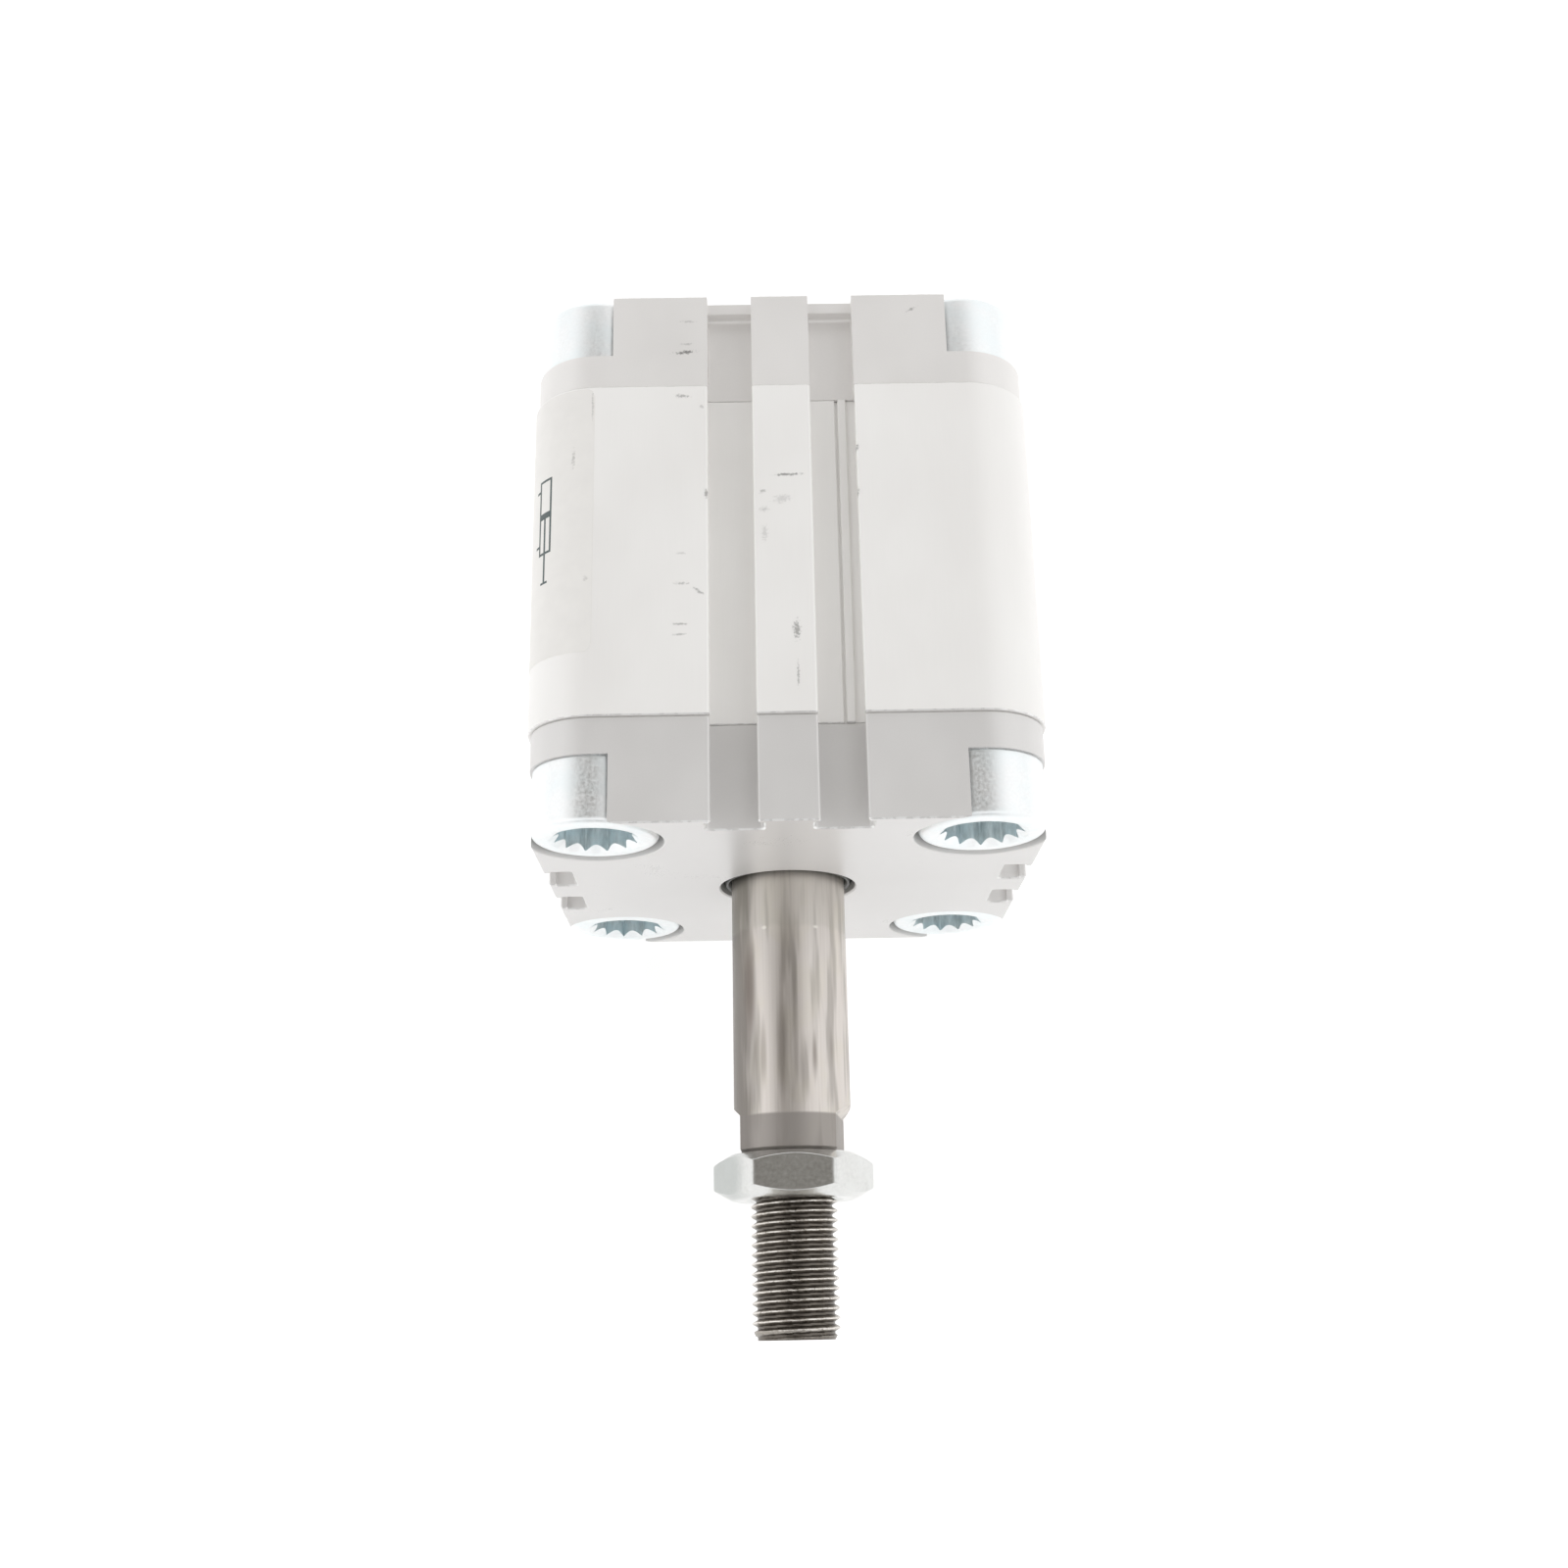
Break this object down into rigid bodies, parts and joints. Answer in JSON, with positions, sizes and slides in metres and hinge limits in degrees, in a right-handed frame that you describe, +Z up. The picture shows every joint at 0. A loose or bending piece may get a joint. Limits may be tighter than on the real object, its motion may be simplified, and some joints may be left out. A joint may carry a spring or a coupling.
{
  "type": "pneumatic cylinder",
  "caption": "Compact square-bodied double-acting air cylinder with sensor slots, flange screws at both ends and an extended rod with male thread and lock nut.",
  "frame": {"origin": "centre of the bearing cap's front face, on the rod axis", "axes": "+Y along the rod axis from the bearing cap to the end cap, the rod points to -Y; +Z up, towards the face with two sensor slots that lies opposite the air ports; +X to the right seen from the rod end with +Z up"},
  "size_m": [0.0681, 0.137, 0.0681],
  "materials": {
    "barrel_anodised": "satin clear anodised",
    "cap_anodised": "satin anodised, slightly darker",
    "zinc_steel": "bright zinc plated",
    "rod_steel": "polished stainless steel",
    "nut_zinc": "bright zinc plated",
    "black_nbr": "matte",
    "grey_polyurethane": "satin",
    "bronze_bush": "sintered bronze",
    "piston_aluminium": "turned",
    "magnet_ferrite": "matte",
    "guide_pom": "satin",
    "label_film": "satin film"
  },
  "bodies": {
    "barrel": {"barrel_profile": "barrel_anodised", "bearing_cap": "cap_anodised", "end_cap": "cap_anodised", "front_flange_screws": "zinc_steel", "rear_flange_screws": "zinc_steel", "rod_bearing_bush": "bronze_bush", "rod_wiper_seal": "black_nbr", "front_buffer_ring": "grey_polyurethane", "rear_buffer_ring": "grey_polyurethane", "front_cap_o_ring": "black_nbr", "rear_cap_o_ring": "black_nbr", "rating_label": "label_film"},
    "piston_rings": {"piston_guide_ring": "guide_pom", "piston_seal_front": "black_nbr", "piston_seal_rear": "black_nbr"},
    "piston_rod": {"piston_rod": "rod_steel", "piston_front_disc": "piston_aluminium", "piston_rear_disc": "piston_aluminium", "piston_magnet": "magnet_ferrite", "piston_o_ring": "black_nbr", "piston_screw": "zinc_steel"},
    "lock_nut": {"lock_nut": "nut_zinc"}
  },
  "joints": [
    {"name": "piston_slide", "type": "slide", "parent": "barrel", "child": "piston_rings", "axis": [0, -1, 0], "range_m": [-0.03, 0]},
    {"name": "rod_turn", "type": "hinge", "parent": "piston_rings", "child": "piston_rod", "pos_m": [0, 0, 0], "axis": [0, -1, 0], "continuous": true},
    {"name": "lock_nut_travel", "type": "slide", "parent": "piston_rod", "child": "lock_nut", "axis": [0, -1, 0], "range_m": [0, 0.0165]}
  ]
}
